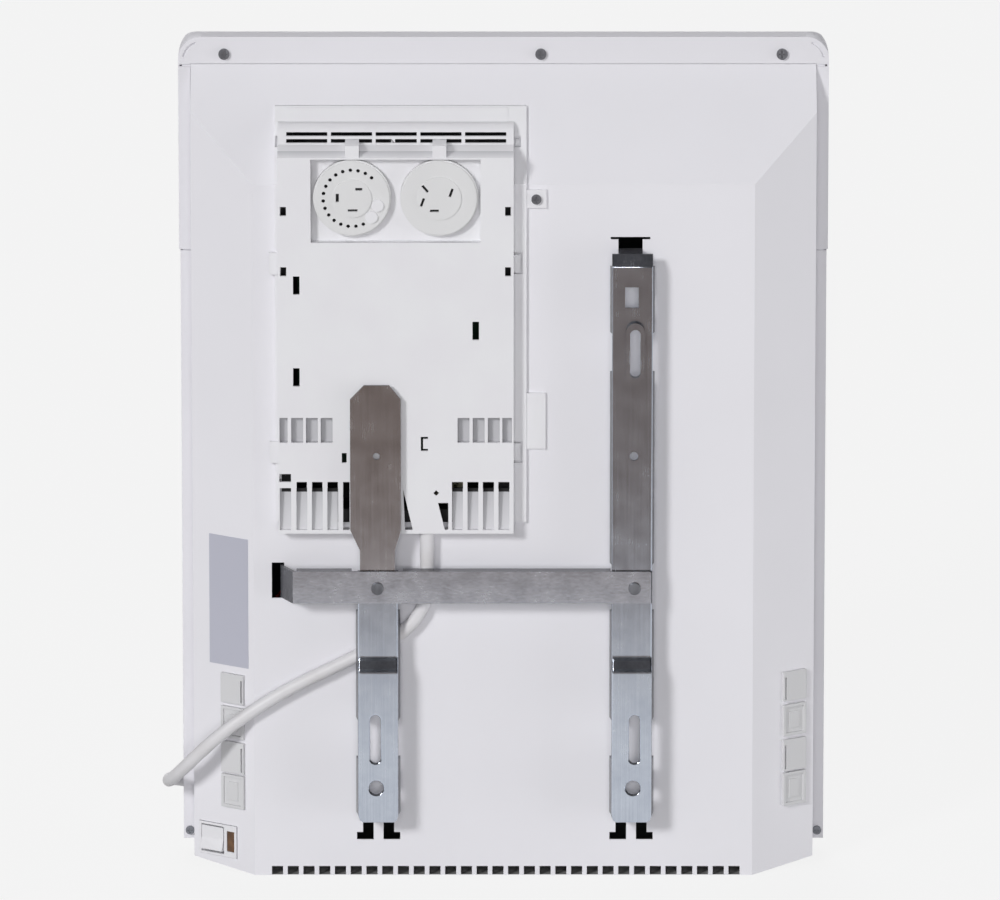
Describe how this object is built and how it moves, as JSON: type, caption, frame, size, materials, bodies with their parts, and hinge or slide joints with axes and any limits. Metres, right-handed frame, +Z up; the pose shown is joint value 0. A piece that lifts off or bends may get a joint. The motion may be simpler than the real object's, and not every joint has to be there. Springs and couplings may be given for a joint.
{
  "type": "electric wall convector heater",
  "caption": "White sheet-steel wall convector heater with a rear control box, two dials, a hinged galvanised wall bracket, a rocker switch, an outlet grille and a supply cord.",
  "frame": {"origin": "centre of the bounding box's footprint, on the plane of the base", "axes": "+Z up, -Y the room side (front), +Y the wall side (rear); +X is on the left seen from behind"},
  "size_m": [0.3498, 0.1788, 0.444],
  "materials": {
    "casing_paint": "satin white powder coat",
    "white_plastic": "fine satin",
    "zinc_screw": "zinc plated",
    "galvanised": "galvanised, faintly spangled",
    "rivet_metal": "satin",
    "foil": "matt printed foil, blank",
    "amber_lens": "translucent, unlit",
    "board": "lacquered",
    "dark_plastic": "matt",
    "ivory_plastic": "matt",
    "ceramic": "unglazed",
    "element_metal": "extruded, matt",
    "bare_sheet": "bare galvanised sheet",
    "lead_sleeve": "silicone",
    "cord_sheath": "smooth white sheath",
    "core_sheath": "brown, blue and black cores",
    "tie_strap": "matt"
  },
  "bodies": {
    "heater": {"rear_panel": "casing_paint", "front_hood": "casing_paint", "front_panel": "casing_paint", "outlet_grille": "white_plastic", "hood_screws": "zinc_screw", "side_screws": "zinc_screw", "control_box_frame": "white_plastic", "control_box_cover": "white_plastic", "box_screw": "zinc_screw", "control_board": "board", "potentiometer": "dark_plastic", "mode_switch": "dark_plastic", "terminal_block": "ivory_plastic", "heating_element": "element_metal", "element_bushes": "ceramic", "element_mounts": "bare_sheet", "heat_shield": "bare_sheet", "thermal_cutout": "dark_plastic", "internal_leads": "lead_sleeve", "room_sensor": "dark_plastic", "power_switch_body": "white_plastic", "switch_lens": "amber_lens", "foot_sockets_left": "white_plastic", "foot_sockets_right": "white_plastic", "rating_plate": "foil", "strain_relief": "white_plastic", "supply_cord": "cord_sheath", "cord_coil": "cord_sheath", "cord_cores": "core_sheath", "cord_tie": "tie_strap"},
    "bracket": {"bracket_right_leg": "galvanised", "bracket_left_leg": "galvanised", "bracket_crossbar": "galvanised", "bracket_rivets": "rivet_metal"},
    "temperature_dial": {"temperature_dial": "white_plastic"},
    "mode_dial": {"mode_dial": "white_plastic"},
    "limit_pin_low": {"limit_pin_low": "white_plastic"},
    "limit_pin_high": {"limit_pin_high": "white_plastic"},
    "power_rocker": {"power_rocker": "white_plastic"}
  },
  "joints": [
    {"name": "bracket_hinge", "type": "hinge", "parent": "heater", "child": "bracket", "pos_m": [0, 0.0225, 0.03425], "axis": [-1, 0, 0], "range_deg": [0, 25]},
    {"name": "temperature_turn", "type": "hinge", "parent": "heater", "child": "temperature_dial", "pos_m": [0.07885, 0.0275, 0.368], "axis": [0, 1, 0], "range_deg": [-203, 43]},
    {"name": "mode_turn", "type": "hinge", "parent": "heater", "child": "mode_dial", "pos_m": [0.03335, 0.0275, 0.368], "axis": [0, 1, 0], "range_deg": [-90, 45]},
    {"name": "low_pin_pull", "type": "slide", "parent": "temperature_dial", "child": "limit_pin_low", "axis": [0, 1, 0], "range_m": [0, 0.008]},
    {"name": "high_pin_pull", "type": "slide", "parent": "temperature_dial", "child": "limit_pin_high", "axis": [0, 1, 0], "range_m": [0, 0.008]},
    {"name": "rocker_tilt", "type": "hinge", "parent": "heater", "child": "power_rocker", "pos_m": [0.12931, 0.02052, 0.0158], "axis": [-0.8273, 0.5618, 0], "range_deg": [0, 14]}
  ]
}
